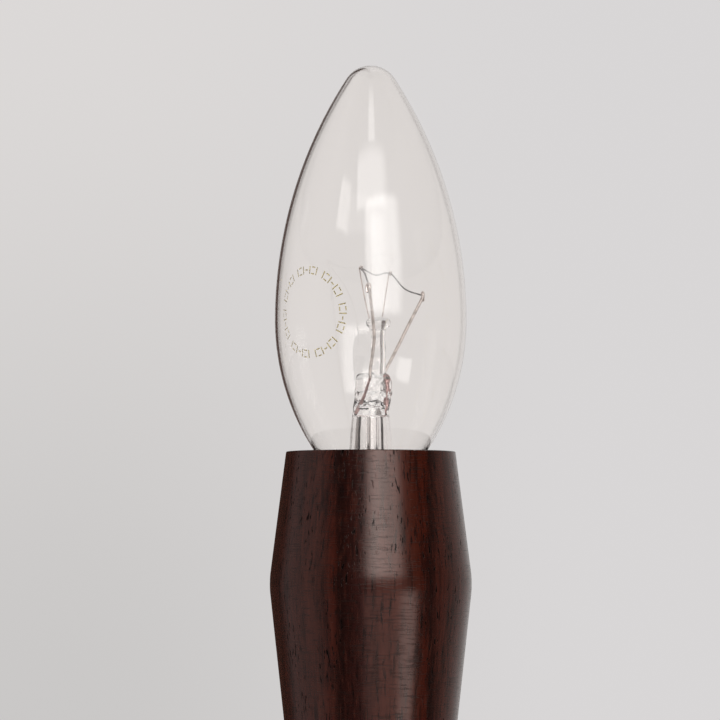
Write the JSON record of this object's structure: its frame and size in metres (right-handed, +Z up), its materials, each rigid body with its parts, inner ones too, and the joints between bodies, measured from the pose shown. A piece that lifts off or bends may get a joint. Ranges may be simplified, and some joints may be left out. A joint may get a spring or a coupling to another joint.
{
  "type": "candle bulb lamp",
  "caption": "Small table lamp: clear candle-shaped filament bulb in a screw lampholder hidden in a turned dark rosewood stem on a round weighted foot.",
  "frame": {"origin": "centre of the bounding box's base, on the lamp's axis at the felt's underside", "axes": "+Z up along the lamp's axis, from the foot to the bulb's tip; +Y towards the back, where the flex enters the foot; +X to the right"},
  "size_m": [0.088, 0.088, 0.2114],
  "materials": {
    "rosewood": "satin, oiled, dark reddish brown with near-black streaks",
    "felt": "matted wool felt, dark green",
    "zinc_steel": "zinc plated",
    "brass": "bright, lacquered",
    "black_phenolic": "moulded black phenolic",
    "white_ceramic": "unglazed steatite",
    "clear_glass": "clear, blown",
    "black_glass": "black vitreous insulator",
    "solder": "dull tin solder",
    "basing_cement": "baked basing cement",
    "nickel_wire": "drawn nickel wire",
    "tungsten": "dark coiled tungsten"
  },
  "bodies": {
    "root": {"felt_pad": "felt", "foot": "rosewood", "cable_bush": "black_phenolic", "foot_weight": "zinc_steel", "weight_screws": "zinc_steel", "threaded_rod": "zinc_steel", "foot_washer": "zinc_steel", "foot_nut": "zinc_steel", "brass_collar": "brass", "stem": "rosewood", "stem_washer": "zinc_steel", "stem_nut": "zinc_steel", "holder_sleeve": "black_phenolic", "screw_shell": "brass", "contact_block": "white_ceramic", "side_contact": "brass", "line_terminal": "brass", "neutral_terminal": "brass", "terminal_screws": "brass", "contact_foot": "brass", "contact_rivets": "brass", "holder_cap": "black_phenolic", "grub_screw": "zinc_steel"},
    "contact_leaf": {"centre_contact": "brass"},
    "lift": {"cap_insulator": "black_glass"},
    "bulb": {"cap_shell": "brass", "cap_contact": "solder", "basing_cement": "basing_cement", "side_solder": "solder", "glass_envelope": "clear_glass", "stem_flare": "clear_glass", "glass_press": "clear_glass", "exhaust_tube": "clear_glass", "glass_arbor": "clear_glass", "left_lead": "nickel_wire", "right_lead": "nickel_wire", "support_wires": "nickel_wire", "filament": "tungsten"}
  },
  "joints": [
    {"name": "bulb_lift", "type": "slide", "parent": "root", "child": "lift", "axis": [0, 0, 1], "range_m": [0, 0.00988]},
    {"name": "bulb_turn", "type": "hinge", "parent": "lift", "child": "bulb", "pos_m": [0, 0, 0.1365], "axis": [0, 0, 1], "range_deg": [0, 1260]},
    {"name": "contact_press", "type": "hinge", "parent": "root", "child": "contact_leaf", "pos_m": [0.0024, 0, 0.1106], "axis": [0, -1, 0], "range_deg": [0, 8], "stiffness_Nm_per_rad": 0.02, "springref_deg": -5.73}
  ],
  "couplings": [
    {"joint": "bulb_lift", "follows": "bulb_turn", "m_per_rad": 0.00044913}
  ]
}
